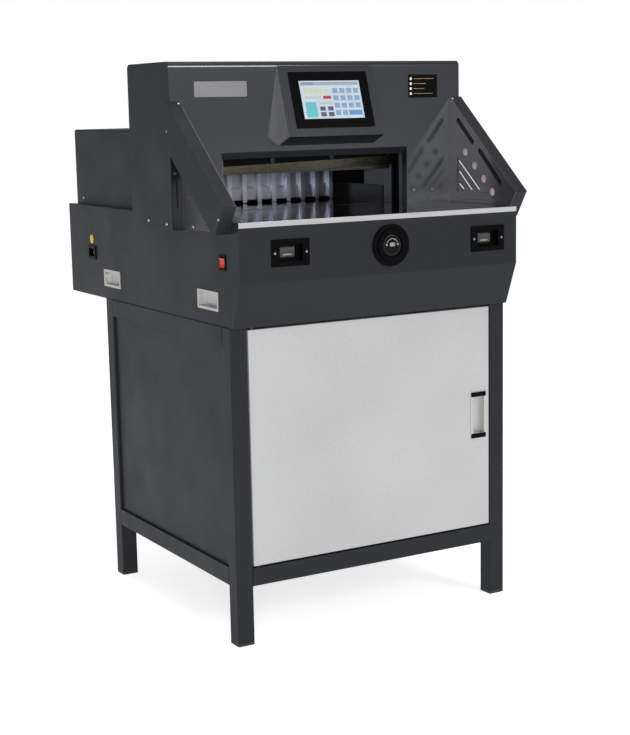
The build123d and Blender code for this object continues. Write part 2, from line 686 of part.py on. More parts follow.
def make_knife():
    profile_plane = Plane(
        origin=BLADE_PLANE.from_local_coords((BLADE_X[0], 0, 0)),
        x_dir=(0, 1, 0),
        z_dir=BLADE_PLANE.x_dir,
    )
    with BuildPart() as blade:
        with BuildSketch(profile_plane):
            with BuildLine():
                Polyline(
                    (KNIFE_Y, 0),
                    (KNIFE_Y, BLADE_HEIGHT),
                    (BLADE_FRONT_Y, BLADE_HEIGHT),
                    (BLADE_FRONT_Y, BEVEL_HEIGHT),
                    (KNIFE_Y - 0.3, 0),
                    close=True,
                )
            make_face()
        extrude(amount=BLADE_X[1] - BLADE_X[0])
        for x in BOLT_X:
            bolt_bar(x, BLADE_FRONT_Y, BLADE_FRONT_Y + 9, 4, mode=Mode.SUBTRACT)
    save(blade, "knife_blade")

    pin_x = (BLOCK_CENTRE_Z - EDGE_Z) * math.sin(math.radians(SWING))
    pin_up = (BLOCK_CENTRE_Z - EDGE_Z) * math.cos(math.radians(SWING))
    shoulder = 118.0
    with BuildPart() as carrier:
        with BuildSketch(BLADE_PLANE.offset(-BLADE_FRONT_Y)):
            with BuildLine():
                Polyline(
                    (BLADE_X[0], BEVEL_HEIGHT),
                    (BLADE_X[1] - 4, BEVEL_HEIGHT),
                    (BLADE_X[1] - 4, shoulder - 30),
                    (150, shoulder),
                    (pin_x + BOSS_RADIUS, shoulder),
                    (pin_x + BOSS_RADIUS, pin_up),
                    (pin_x - BOSS_RADIUS, pin_up),
                    (pin_x - BOSS_RADIUS, shoulder),
                    (-150, shoulder),
                    (BLADE_X[0], shoulder - 30),
                    close=True,
                )
            make_face()
            with Locations((pin_x, pin_up)):
                Circle(BOSS_RADIUS)
                Circle(PIN_RADIUS + RUN, mode=Mode.SUBTRACT)
        extrude(amount=CARRIER_THICK)
        for x in BOLT_X:
            bolt_bar(x, BLADE_FRONT_Y, CARRIER_FRONT_Y, 4, mode=Mode.SUBTRACT)
    save(carrier, "knife_carrier")

    with BuildPart() as bolts:
        for x in BOLT_X:
            bolt_bar(x, CARRIER_FRONT_Y, BLADE_FRONT_Y + 9, 4)
            bolt_x, bolt_z = along_blade(x, BOLT_UP)
            with BuildSketch(Plane(origin=(bolt_x, CARRIER_FRONT_Y, bolt_z), z_dir=(0, -1, 0))):
                RegularPolygon(6.5, 6)
            extrude(amount=5)
    save(bolts, "knife_bolts")


# ---------------------------------------------------------------- clamp
CLAMP_X = 243.0
CLAMP_Y = (-108.0, -84.0)
CLAMP_HEIGHT = 52.0
ROD_TOP_Z = 1222.0


def clamp_bar(x, z_range, radius, mode=Mode.ADD):
    """An upright round bar or bore in the plane of the clamp's spindle and rods."""
    bar((x, CLAMP_AXIS_Y, z_range[0]), (x, CLAMP_AXIS_Y, z_range[1]), radius, mode=mode)


def make_clamp():
    top_z = CLAMP_OPEN_Z + CLAMP_HEIGHT
    foot_z = top_z - 12
    rods = ((-CLAMP_ROD_X, 10), (0, 8), (CLAMP_ROD_X, 10))
    with BuildPart() as beam:
        block((-CLAMP_X, CLAMP_Y[0], CLAMP_OPEN_Z), (CLAMP_X, CLAMP_Y[1], top_z))
        for centre_x, radius in rods:
            clamp_bar(centre_x, (foot_z, top_z), radius, mode=Mode.SUBTRACT)
    save(beam, "clamp_beam")
    with BuildPart() as columns:
        for centre_x, radius in rods:
            clamp_bar(centre_x, (foot_z, ROD_TOP_Z), radius)
    save(columns, "clamp_spindle_and_rods")
    with BuildPart() as bushes:
        for centre_x in (-CLAMP_ROD_X, CLAMP_ROD_X):
            bush_z = (BRIDGE_Z[0] - 4, BRIDGE_Z[1] + 4)
            clamp_bar(centre_x, bush_z, 15)
            clamp_bar(centre_x, bush_z, 10 + RUN, mode=Mode.SUBTRACT)
    save(bushes, "clamp_guide_bushes")
    gear_top_z = BRIDGE_Z[1] + 28
    with BuildPart() as motor:
        block((-85, -117, BRIDGE_Z[1]), (35, -32, gear_top_z))
        bar((-60, -60, gear_top_z), (-60, -60, 1238), 25)
        clamp_bar(0, (BRIDGE_Z[1], gear_top_z), 8 + RUN, mode=Mode.SUBTRACT)
    save(motor, "clamp_gear_motor")


# ---------------------------------------------------------------- backgauge
COMB_FRONT_Y = 110.0
COMB_X = 211.0
COMB_TOP_Z = 1004.0
RIB_PITCH = 41.2
RIB_WIDTH = 11.0
RIB_DEPTH = 12.0
CARRIAGE_Y = (200.0, 250.0)
BRACKET_Y = (400.0, 410.0)


def gauge_bar(x, y_range, radius, mode=Mode.ADD):
    """A round bar or bore along Y at the height of the backgauge's screw and rods."""
    bar((x, y_range[0], GAUGE_AXIS_Z), (x, y_range[1], GAUGE_AXIS_Z), radius, mode=mode)


def make_backgauge():
    rib_back = COMB_FRONT_Y + RIB_DEPTH
    rods_x = (-GAUGE_ROD_X, GAUGE_ROD_X)
    with BuildPart() as comb:
        block((-COMB_X, rib_back, 934), (COMB_X, rib_back + 12, COMB_TOP_Z))
        block((-COMB_X, rib_back - 4, 934), (COMB_X, rib_back, 965))
        for index in range(-5, 6):
            low_x = index * RIB_PITCH - RIB_WIDTH / 2
            block((low_x, COMB_FRONT_Y, TABLE_Z + 1), (low_x + RIB_WIDTH, rib_back + 12, COMB_TOP_Z))
    save(comb, "backgauge_comb")
    with BuildPart() as carriage:
        block((-175, CARRIAGE_Y[0], COMB_TOP_Z), (175, CARRIAGE_Y[1], GAUGE_AXIS_Z + 26))
        for low_x in (-110, 90):
            block((low_x, rib_back + 12, 960), (low_x + 20, CARRIAGE_Y[1], COMB_TOP_Z))
        for centre_x in rods_x:
            gauge_bar(centre_x, CARRIAGE_Y, 10 + RUN, mode=Mode.SUBTRACT)
        gauge_bar(0, CARRIAGE_Y, 8 + RUN, mode=Mode.SUBTRACT)
    save(carriage, "backgauge_carriage")
    with BuildPart() as rods:
        for centre_x in rods_x:
            gauge_bar(centre_x, (-8, BRACKET_Y[1]), 10)
    save(rods, "backgauge_guide_rods")
    with BuildPart() as screw:
        gauge_bar(0, (-8, BRACKET_Y[1] + 20), 8)
    save(screw, "backgauge_lead_screw")
    with BuildPart() as bracket:
        block((-185, BRACKET_Y[0], TABLE_Z), (185, BRACKET_Y[1], GAUGE_AXIS_Z + 26))
        for centre_x in rods_x:
            gauge_bar(centre_x, BRACKET_Y, 10, mode=Mode.SUBTRACT)
        gauge_bar(0, BRACKET_Y, 8 + RUN, mode=Mode.SUBTRACT)
    save(bracket, "backgauge_rear_bracket")
    with BuildPart() as motor:
        block((-28.5, BRACKET_Y[1], GAUGE_AXIS_Z - 28.5), (28.5, BRACKET_Y[1] + 56, GAUGE_AXIS_Z + 28.5))
        gauge_bar(0, (BRACKET_Y[1], BRACKET_Y[1] + 21), 8 + RUN, mode=Mode.SUBTRACT)
    save(motor, "backgauge_motor")
    with BuildPart() as guides:
        for low_x in (-THROAT_X + 0.1, THROAT_X - 5):
            block((low_x, -79, TABLE_Z), (low_x + 4.9, 395, 966))
    save(guides, "side_guides")


# ---------------------------------------------------------------- head covers
def make_front_cover():
    inner_x = HEAD_X - SHEET
    with BuildPart() as cover:
        folded_strip(
            [(HEAD_FRONT_Y, LIP_Z), (HEAD_FRONT_Y, HEAD_TOP_Z), (HEAD_FRONT_Y + 51, HEAD_TOP_Z)],
            -inner_x,
            inner_x,
            ROUNDING,
        )
        side_plate(
            [
                (HEAD_FRONT_Y, LIP_Z + 2),
                (HEAD_FRONT_Y, LIP_Z),
                (HEAD_FRONT_Y + 8.5, 1047),
                (HEAD_FRONT_Y + 8.5 + SHEET, 1047.5),
                (HEAD_FRONT_Y + SHEET, LIP_Z + 1),
                (HEAD_FRONT_Y + SHEET, LIP_Z + 2),
            ],
            PILLAR_LEFT_X,
            PILLAR_RIGHT_X,
        )
    save(cover, "head_front_cover")


def make_top_and_rear_covers():
    inner_x = HEAD_X - SHEET
    with BuildPart() as top:
        folded_strip(
            [(HEAD_FRONT_Y + 51, HEAD_TOP_Z), (HEAD_BACK_Y, HEAD_TOP_Z), (HEAD_BACK_Y, REAR_BOX_TOP_Z)],
            -inner_x,
            inner_x,
            ROUNDING,
        )
    save(top, "head_top_cover")
    with BuildPart() as box:
        block((-REAR_BOX_X, HEAD_BACK_Y, TABLE_Z), (REAR_BOX_X, CASING_BACK_Y - 2, REAR_BOX_TOP_Z))
        fillet(box.faces().sort_by(Axis.Z)[-1].edges().sort_by(Axis.Y)[1:], radius=5)
        block(
            (-REAR_BOX_X + SHEET, HEAD_BACK_Y, TABLE_Z),
            (REAR_BOX_X - SHEET, CASING_BACK_Y - 2 - SHEET, REAR_BOX_TOP_Z - SHEET),
            mode=Mode.SUBTRACT,
        )
    save(box, "rear_cover")


def make_head_sides():
    with BuildPart() as covers:
        for side in (-1, 1):
            low_x = min(side * HEAD_X, side * (HEAD_X - SHEET))
            flange_x = sorted((side * CASING_X, side * (HEAD_X - SHEET)))
            with BuildSketch(Plane.YZ.offset(low_x)) as outline:
                with Locations(((HEAD_FRONT_Y + HEAD_BACK_Y) / 2, (HEAD_SKIRT_Z + HEAD_TOP_Z) / 2)):
                    Rectangle(HEAD_BACK_Y - HEAD_FRONT_Y, HEAD_TOP_Z - HEAD_SKIRT_Z)
                fillet(outline.vertices().group_by(Axis.Y)[-1], radius=ROUNDING)
            extrude(outline.sketch, amount=SHEET)
            block((flange_x[0], HEAD_FRONT_Y, HEAD_SKIRT_Z), (flange_x[1], HEAD_BACK_Y, HEAD_SKIRT_Z + SHEET))
    save(covers, "head_side_covers")


def make_pillar_covers():
    """Four covers: one in front of each side frame, and one behind it, outside the rear box."""
    inner_x = HEAD_X - SHEET
    with BuildPart() as covers:
        for side in (-1, 1):
            edge_x = PILLAR_LEFT_X if side < 0 else PILLAR_RIGHT_X
            face_x = sorted((edge_x, side * inner_x))
            rear_x = sorted((side * REAR_BOX_X, side * inner_x))
            skirt_x = sorted((side * CASING_X, side * inner_x))
            return_x = sorted((edge_x, edge_x + side * SHEET))
            block((face_x[0], HEAD_FRONT_Y, TABLE_Z), (face_x[1], HEAD_FRONT_Y + SHEET, LIP_Z))
            block((return_x[0], HEAD_FRONT_Y, TABLE_Z), (return_x[1], FRONT_POST_Y[0] - 1, LIP_Z))
            block((rear_x[0], HEAD_BACK_Y - SHEET, TABLE_Z), (rear_x[1], HEAD_BACK_Y, REAR_BOX_TOP_Z))
            for low_y in (HEAD_FRONT_Y, HEAD_BACK_Y - SHEET):
                block((skirt_x[0], low_y, HEAD_SKIRT_Z + SHEET), (skirt_x[1], low_y + SHEET, TABLE_Z))
    save(covers, "pillar_covers")


# ---------------------------------------------------------------- screen
SCREEN_X = (-114.0, 138.5)
SCREEN_TOP_Z = 1251.0
SCREEN_FOOT = (-251.0, 1093.0)
SCREEN_HEEL_Z = 1073.0
BEZEL_SIZE = (206.0, 131.5)
DISPLAY_SIZE = (159.0, 89.0)


def make_screen():
    drop = SCREEN_TOP_Z - SCREEN_FOOT[1]
    reach = HEAD_FRONT_Y - SCREEN_FOOT[0]
    length = math.hypot(drop, reach)
    outline = [
        (HEAD_FRONT_Y, SCREEN_TOP_Z),
        SCREEN_FOOT,
        (HEAD_FRONT_Y, SCREEN_HEEL_Z),
    ]
    middle_x = sum(SCREEN_X) / 2
    face = Plane(
        origin=(middle_x, HEAD_FRONT_Y, SCREEN_TOP_Z),
        x_dir=(1, 0, 0),
        z_dir=(0, -drop / length, reach / length),
    )
    with BuildPart() as housing:
        side_plate(outline, *SCREEN_X)
        with BuildSketch(face):
            with Locations((1, -81)):
                Rectangle(BEZEL_SIZE[0] - 20, BEZEL_SIZE[1] - 20)
        extrude(amount=-12, mode=Mode.SUBTRACT)
    save(housing, "screen_housing")
    with BuildPart() as bezel:
        with BuildSketch(face):
            with Locations((1, -81)):
                RectangleRounded(*BEZEL_SIZE, 2)
                Rectangle(*DISPLAY_SIZE, mode=Mode.SUBTRACT)
        extrude(amount=1.6)
    save(bezel, "screen_bezel")
    with BuildPart() as display:
        with BuildSketch(face.offset(-9)):
            with Locations((1, -81)):
                Rectangle(*DISPLAY_SIZE)
        extrude(amount=10)
    save(display, "touch_display")


# ---------------------------------------------------------------- guards
GRILLE_CORNERS = [(-230.0, 1036.0), (-230.0, 950.0), (-337.0, 950.0)]
LOUVRES = [
    ((-233.0, 1026.0), (-318.0, 957.5)),
    ((-235.0, 1000.0), (-288.0, 956.0)),
    ((-235.0, 971.0), (-255.0, 957.0)),
]
LOUVRE_WIDTH = 4.0


def louvre(start, end, plane, thickness):
    """Cuts a round-ended slot between two (Y, Z) points through a plate, in the open part context."""
    middle = ((start[0] + end[0]) / 2, (start[1] + end[1]) / 2)
    length = math.hypot(end[0] - start[0], end[1] - start[1])
    angle = math.degrees(math.atan2(end[1] - start[1], end[0] - start[0]))
    with BuildSketch(plane) as slot:
        with Locations(middle):
            SlotOverall(length, LOUVRE_WIDTH, rotation=angle)
    extrude(slot.sketch, amount=thickness, mode=Mode.SUBTRACT)


def make_guards():
    with BuildPart() as arms:
        for side in (-1, 1):
            outer_low = min(side * GUARD_OUT_X, side * (GUARD_OUT_X - SHEET))
            hollow = sorted((side * (GUARD_IN_X + SHEET), side * (GUARD_OUT_X - SHEET)))
            side_plate(
                [GUARD_TOP, GUARD_NOSE, GUARD_FOOT, (-408, 899), (HEAD_FRONT_Y, 1071)],
                outer_low,
                outer_low + SHEET,
            )
            folded_strip([GUARD_FOOT, GUARD_NOSE, GUARD_TOP], hollow[0], hollow[1], 4)
        block(
            (-GUARD_OUT_X, HEAD_FRONT_Y, GUARD_FOOT[1]),
            (GUARD_OUT_X, HEAD_FRONT_Y + 9, HEAD_TOP_Z),
            mode=Mode.SUBTRACT,
        )
    save(arms, "guard_arms")
    with BuildPart() as liners:
        for side in (-1, 1):
            low_x = min(side * GUARD_IN_X, side * (GUARD_IN_X + SHEET))
            side_plate([GUARD_TOP, GUARD_NOSE, GUARD_FOOT, (HEAD_FRONT_Y, 901)], low_x, low_x + SHEET)
            side_plate(GRILLE_CORNERS, low_x, low_x + SHEET, mode=Mode.SUBTRACT)
    save(liners, "guard_liners")
    with BuildPart() as grilles:
        for side in (-1, 1):
            low_x = min(side * (GUARD_IN_X + SHEET), side * (GUARD_IN_X + 2 * SHEET))
            side_plate([(-224, 1048), (-224, 944), (-352, 944)], low_x, low_x + SHEET)
            for start, end in LOUVRES:
                louvre(start, end, Plane.YZ.offset(low_x), SHEET)
    save(grilles, "guard_grilles")


def make_cover_screws():
    """Every domed screw head on the covers, gathered in one piece."""
    spots = []
    small_screws = []
    for side in (-1, 1):
        for y, z in ((-190, 1112), (-75.5, 913), (-172, 910)):
            spots.append(((side * HEAD_X, y, z), (side, 0, 0)))
        spots.append(((side * (GUARD_IN_X + SHEET), -254.7, 907.6), (side, 0, 0)))
        spots.append(((side * (GUARD_IN_X + 14.7), HEAD_FRONT_Y, 1021.5), (0, -1, 0)))
        edge_x = PILLAR_LEFT_X if side < 0 else PILLAR_RIGHT_X
        for inset in (19.6, 71.5):
            small_screws.append(((edge_x + side * inset, HEAD_FRONT_Y, 958), (0, -1, 0)))
        small_screws.append(((side * GUARD_OUT_X, -438, 933.4), (side, 0, 0)))
        for y in (60, 440):
            spots.append(((side * REAR_BOX_X, y, 940), (side, 0, 0)))
    for x in (-300, 0, 300):
        spots.append(((x, CASING_BACK_Y - 2, 948), (0, 1, 0)))
    with BuildPart() as screws:
        screw_heads(spots)
        screw_heads(small_screws, 3.2, 1.2)
        for centre_x in BUTTON_CENTRES_X:
            for shift in (-38, 38):
                screw_heads([((centre_x + shift, CASING_FRONT_Y - 2.5, CONTROL_Z), (0, -1, 0))], 3, 1.5)
    save(screws, "cover_screws")


# ---------------------------------------------------------------- build
make_stand_legs()
make_leg_feet()
make_stand_rails()
make_cabinet_panels()
make_door()
make_door_handle()
make_door_hinges()
make_casing_sides()
make_casing_front()
make_casing_base_and_rear()
make_lifting_pulls()
make_power_fittings()
make_cut_buttons()
make_dial()
make_table()
make_side_frames()
make_crossbeams()
make_knife_guide()
make_slide_block()
make_knife()
make_clamp()
make_backgauge()
make_front_cover()
make_top_and_rear_covers()
make_head_sides()
make_pillar_covers()
make_screen()
make_guards()
make_cover_screws()
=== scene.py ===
import json
import math

import bmesh
import bpy
from mathutils import Matrix, Vector


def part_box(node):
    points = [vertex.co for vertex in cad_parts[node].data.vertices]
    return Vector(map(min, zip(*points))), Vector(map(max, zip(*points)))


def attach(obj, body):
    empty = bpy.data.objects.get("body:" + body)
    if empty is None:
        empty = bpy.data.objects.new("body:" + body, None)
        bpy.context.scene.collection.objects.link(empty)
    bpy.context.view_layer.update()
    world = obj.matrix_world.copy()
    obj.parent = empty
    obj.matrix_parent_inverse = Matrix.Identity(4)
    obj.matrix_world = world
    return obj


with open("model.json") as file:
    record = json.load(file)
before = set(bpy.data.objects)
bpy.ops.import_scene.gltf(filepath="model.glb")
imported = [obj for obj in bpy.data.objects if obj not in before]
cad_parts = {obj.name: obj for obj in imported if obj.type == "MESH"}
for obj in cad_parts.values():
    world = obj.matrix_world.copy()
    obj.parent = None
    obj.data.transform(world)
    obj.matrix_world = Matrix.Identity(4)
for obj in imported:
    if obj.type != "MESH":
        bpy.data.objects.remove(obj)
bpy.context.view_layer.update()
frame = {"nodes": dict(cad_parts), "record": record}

# Looks, light and camera for a guillotine paper cutter. Metres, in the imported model's own frame.

MM = 0.001
WHITE = (1, 1, 1)
DOT_SIDES = 24                   # sides of the smallest turned dots
PLATE_THICKNESS = 0.7 * MM       # badge and instruction plate
INSTRUCTION_ROWS = 4
INSTRUCTION_PITCH = 11.5 * MM
DISPLAY_HEIGHT = 0.089
DISPLAY_DROP = 0.081             # from the top of the housing down its sloping face to the display's middle
HOUSING_HEEL = 0.020             # upright strip under the housing's sloping face
DIAL_RECESS = 4 * MM
MARK_RADIUS = 14.5 * MM          # arc and dots on the dial cap
LINER_FACE_X = 0.357             # the guard liners' inner faces, from the middle
ARM_NOSE_Z = 0.959               # where the guard arm's sloping front strip ends


# ---------------------------------------------------------------- material helpers
def start_material(name):
    """A new material, its node tree and its main shader."""
    material = bpy.data.materials.new(name)
    material.use_nodes = True
    return material, material.node_tree, material.node_tree.nodes["Principled BSDF"]


def add_node(tree, kind, inputs=None, **settings):
    node = tree.nodes.new(kind)
    for key, value in settings.items():
        setattr(node, key, value)
    for key, value in (inputs or {}).items():
        node.inputs[key].default_value = value
    return node


def noise(tree, scale, detail=4.0, stretch=(1, 1, 1)):
    """A noise factor in object space, with features of about 1/scale metres, shorter where stretched."""
    place = add_node(tree, "ShaderNodeTexCoord")
    mapping = add_node(tree, "ShaderNodeMapping", {"Scale": stretch})
    texture = add_node(tree, "ShaderNodeTexNoise", {"Scale": scale, "Detail": detail, "Roughness": 0.55})
    tree.links.new(place.outputs["Object"], mapping.inputs["Vector"])
    tree.links.new(mapping.outputs["Vector"], texture.inputs["Vector"])
    return texture.outputs["Fac"]


def ramp(tree, factor, dark, light, low=0.35, high=0.65):
    """Turns a factor into a colour between dark and light."""
    node = add_node(tree, "ShaderNodeValToRGB")
    node.color_ramp.elements[0].position = low
    node.color_ramp.elements[0].color = (*dark, 1)
    node.color_ramp.elements[1].position = high
    node.color_ramp.elements[1].color = (*light, 1)
    tree.links.new(factor, node.inputs["Fac"])
    return node.outputs["Color"]


def spread(tree, factor, low, high):
    """Maps a noise factor to a plain value between low and high."""
    limits = {"From Min": 0.3, "From Max": 0.7, "To Min": low, "To Max": high}
    node = add_node(tree, "ShaderNodeMapRange", limits)
    tree.links.new(factor, node.inputs["Value"])
    return node.outputs["Result"]


def scaled(colour, factor):
    return tuple(min(1.0, channel * factor) for channel in colour)


def add_relief(tree, shader, factor, depth, edge=0.0):
    """Bump of a depth in metres; edge rounds sharp corners in the shading by that radius."""
    bump = add_node(tree, "ShaderNodeBump", {"Strength": 1.0, "Distance": depth})
    tree.links.new(factor, bump.inputs["Height"])
    if edge:
        corner = add_node(tree, "ShaderNodeBevel", {"Radius": edge}, samples=4)
        tree.links.new(corner.outputs["Normal"], bump.inputs["Normal"])
    tree.links.new(bump.outputs["Normal"], shader.inputs["Normal"])


# ---------------------------------------------------------------- materials
def painted(name, colour, warm, gloss=(0.38, 0.5), coat=0.1, coat_roughness=0.2, peel=0.00004, shine=0.3):
    """Powder coat: slow drift between two tints, fine mottle, and orange peel about a millimetre across."""
    material, tree, shader = start_material(name)
    drift = ramp(tree, noise(tree, 2.2, 2), colour, warm)
    mottle = ramp(tree, noise(tree, 420, 3), (0.95, 0.95, 0.95), (1.04, 1.04, 1.04))
    tree.links.new(tinted(tree, drift, mottle), shader.inputs["Base Color"])
    tree.links.new(spread(tree, noise(tree, 7, 5), *gloss), shader.inputs["Roughness"])
    shader.inputs["Specular IOR Level"].default_value = shine
    shader.inputs["Coat Weight"].default_value = coat
    shader.inputs["Coat Roughness"].default_value = coat_roughness
    shader.inputs["Coat IOR"].default_value = 1.6
    add_relief(tree, shader, noise(tree, 900, 2), peel, edge=1.2 * MM)
    return material


def tinted(tree, base, layer):
    """Multiplies one colour by another."""
    mix = add_node(tree, "ShaderNodeMix", {"Factor": 1.0}, data_type="RGBA", blend_type="MULTIPLY")
    tree.links.new(base, mix.inputs["A"])
    tree.links.new(layer, mix.inputs["B"])
    return mix.outputs["Result"]


def coat_one_face(material, axis, start, end, weight):
    """Clear coat that is absent at the start distance from the middle and at full weight from end on."""
    tree = material.node_tree
    place = add_node(tree, "ShaderNodeTexCoord")
    axes = add_node(tree, "ShaderNodeSeparateXYZ")
    distance = add_node(tree, "ShaderNodeMath", operation="ABSOLUTE")
    limits = {"From Min": start, "From Max": end, "To Min": 0.0, "To Max": weight}
    share = add_node(tree, "ShaderNodeMapRange", limits)
    tree.links.new(place.outputs["Object"], axes.inputs["Vector"])
    tree.links.new(axes.outputs[axis], distance.inputs[0])
    tree.links.new(distance.outputs["Value"], share.inputs["Value"])
    tree.links.new(share.outputs["Result"], tree.nodes["Principled BSDF"].inputs["Coat Weight"])
    return material


def brushed(name, colour, along, roughness=(0.2, 0.34), depth=0.00002, tint=0.88):
    """Ground or brushed metal: the scratches run along the axis with this index."""
    stretch = [26.0, 26.0, 26.0]
    stretch[along] = 0.7
    material, tree, shader = start_material(name)
    grain = noise(tree, 45, 6, stretch)
    blotch = noise(tree, 9, 4)
    shades = ramp(tree, grain, scaled(colour, tint), colour)
    stains = ramp(tree, blotch, (0.9, 0.9, 0.89), WHITE)
    tree.links.new(tinted(tree, shades, stains), shader.inputs["Base Color"])
    shader.inputs["Metallic"].default_value = 1.0
    tree.links.new(spread(tree, grain, *roughness), shader.inputs["Roughness"])
    add_relief(tree, shader, grain, depth, edge=0.6 * MM)
    return material


def moulded(name, colour, roughness=(0.34, 0.5), grain_depth=0.00003, coat=0.0, shine=0.4):
    """Moulded plastic with a fine spark-eroded grain."""
    material, tree, shader = start_material(name)
    shade = ramp(tree, noise(tree, 60, 4), scaled(colour, 0.85), scaled(colour, 1.15))
    tree.links.new(shade, shader.inputs["Base Color"])
    tree.links.new(spread(tree, noise(tree, 35, 4), *roughness), shader.inputs["Roughness"])
    shader.inputs["Specular IOR Level"].default_value = shine
    shader.inputs["Coat Weight"].default_value = coat
    shader.inputs["Coat Roughness"].default_value = 0.08
    add_relief(tree, shader, noise(tree, 1500, 2), grain_depth, edge=0.5 * MM)
    return material


def comb_metal_and_painted_light(node):
    """Satin aluminium with painted light: a painted highlight band, brightest halfway up, and painted shade
    darkening the panel set back between the ribs.
    """
    front = min(corner[1] for corner in node.bound_box)
    foot = min(corner[2] for corner in node.bound_box)
    top = max(corner[2] for corner in node.bound_box)
    material = brushed("comb_metal_and_painted_light", (0.40, 0.42, 0.48), 2, (0.3, 0.42))
    tree = material.node_tree
    shader = tree.nodes["Principled BSDF"]
    metal = shader.inputs["Base Color"].links[0].from_socket
    place = add_node(tree, "ShaderNodeTexCoord")
    axes = add_node(tree, "ShaderNodeSeparateXYZ")
    tree.links.new(place.outputs["Object"], axes.inputs["Vector"])
    depth = add_node(tree, "ShaderNodeMapRange", {"From Min": front + 1 * MM, "From Max": front + 8 * MM})
    height = add_node(tree, "ShaderNodeMapRange", {"From Min": foot, "From Max": top})
    tree.links.new(axes.outputs["Y"], depth.inputs["Value"])
    tree.links.new(axes.outputs["Z"], height.inputs["Value"])
    # Painted shade: the colour darkens with depth behind the ribs' front faces, so the recessed panel looks
    # shaded.
    shades = ramp(tree, depth.outputs["Result"], WHITE, (0.72, 0.72, 0.75), 0, 1)
    # Painted highlight: a band of colour brightest halfway up the comb, standing in for a reflection.
    painted_highlight_band = ramp(tree, height.outputs["Result"], (0.45, 0.45, 0.45), (0.5, 0.5, 0.5), 0, 1)
    painted_highlight_band.node.color_ramp.elements.new(0.5).color = (*WHITE, 1)
    tree.links.new(tinted(tree, tinted(tree, metal, shades), painted_highlight_band), shader.inputs["Base Color"])
    return material


def lit(name, colour, strength=0.9):
    """A lit patch of the display: fine pixel rows under a slow drift, behind gloss."""
    material, tree, shader = start_material(name)
    shade = ramp(tree, noise(tree, 30, 3), scaled(colour, 0.9), colour)
    rows = ramp(tree, noise(tree, 900, 1, (0.4, 1, 3)), (0.9, 0.9, 0.92), WHITE)
    tree.links.new(tinted(tree, shade, rows), shader.inputs["Emission Color"])
    shader.inputs["Base Color"].default_value = (0.02, 0.02, 0.022, 1)
    shader.inputs["Emission Strength"].default_value = strength
    shader.inputs["Roughness"].default_value = 0.12
    return material


def make_slot_materials():
    """One finish for each material slot of the record."""
    return {
        "dark_paint": painted("dark_paint", (0.0130, 0.0158, 0.0175), (0.0142, 0.0162, 0.0172), coat=0,
                              shine=0.12),
        "inner_frame_paint": painted("inner_paint", (0.085, 0.09, 0.10), (0.095, 0.10, 0.11), coat=0),
        "motor_paint": painted("motor_paint", (0.02, 0.021, 0.023), (0.03, 0.03, 0.03), coat=0),
        "foot_rubber": moulded("foot_rubber", (0.018, 0.018, 0.018), (0.6, 0.75), 0.0001),
        "door_paint": painted("door_paint", (0.345, 0.345, 0.345), (0.38, 0.38, 0.38), (0.4, 0.5)),
        "pull_metal": brushed("pull_metal", (0.56, 0.56, 0.55), 2, (0.42, 0.55)),
        "black_plastic": moulded("black_plastic", (0.0012, 0.0012, 0.0014), (0.3, 0.4), shine=0.04),
        "red_plastic": moulded("red_plastic", (0.50, 0.010, 0.006), (0.25, 0.35), 0.00001, shine=0.3),
        "button_plastic": moulded("button_plastic", (0.045, 0.046, 0.048), shine=0.2),
        "display_panel": lit("display_panel", (0.66, 0.80, 0.90)),
        "table_steel": brushed("table_steel", (0.60, 0.59, 0.60), 0, (0.05, 0.1), 0.000004),
        "stick_plastic": moulded("stick_plastic", (0.16, 0.035, 0.022)),
        "blade_steel": brushed("blade_steel", (0.28, 0.27, 0.17), 0, (0.22, 0.36)),
        "machined_steel": brushed("machined_steel", (0.56, 0.56, 0.57), 1, (0.18, 0.3)),
        "bronze": brushed("bronze", (0.55, 0.36, 0.15), 2),
        "gauge_aluminium": brushed("gauge_aluminium", (0.62, 0.65, 0.74), 2, (0.24, 0.38)),
    }


SLOTS = make_slot_materials()


def dress_cad_nodes():
    """Gives each CAD node the finish of its slot, and a few nodes a finish of their own."""
    satin = {"gloss": (0.3, 0.4), "coat": 0.8, "coat_roughness": 0.13, "peel": 0.00001, "shine": 0.2}
    head_shades = ((0.007, 0.0100, 0.0135), (0.008, 0.0105, 0.0130))
    liner_shades = ((0.018, 0.019, 0.026), (0.021, 0.022, 0.028))
    front = -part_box("head_front_cover")[0].y
    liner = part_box("guard_liners")[1].x
    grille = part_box("guard_grilles")[1].x
    own = {
        "head_front_cover": coat_one_face(painted("head_paint", *head_shades, **satin), "Y",
                                          front - 1.5 * MM, front - 0.5 * MM, 0.8),
        "screen_housing": painted("housing_paint", *head_shades, **satin),
        "guard_liners": coat_one_face(painted("liner_paint", *liner_shades, **satin), "X",
                                      liner - 0.5 * MM, liner - 1.5 * MM, 0.8),
        "guard_grilles": coat_one_face(painted("grille_paint", *liner_shades, **satin), "X",
                                       grille - 0.5 * MM, grille - 1.5 * MM, 0.8),
        "backgauge_comb": comb_metal_and_painted_light(frame["nodes"]["backgauge_comb"]),
        "knife_carrier": painted("carrier_black", (0.002, 0.002, 0.002), (0.003, 0.003, 0.003), coat=0,
                                 shine=0.05),
        "side_guides": painted("guide_paint", (0.012, 0.013, 0.016), (0.015, 0.016, 0.018), coat=0),
        "knife_bolts": brushed("bolt_steel", (0.05, 0.05, 0.05), 0, (0.3, 0.45)),
        "clamp_beam": brushed("clamp_steel", (0.06, 0.06, 0.065), 0, (0.4, 0.55)),
        "door_hinge_pins": brushed("pin_steel", (0.05, 0.05, 0.05), 2, (0.4, 0.5)),
        "cover_screws": brushed("screw_steel", (0.30, 0.30, 0.31), 0, (0.25, 0.4)),
    }
    own["pillar_covers"] = own["head_front_cover"]
    for row in frame["record"]["subparts"]:
        node = frame["nodes"][row["node"]]
        finish = own.get(row["node"], SLOTS[row["material_slot"]])
        for place in node.material_slots:
            place.material = finish


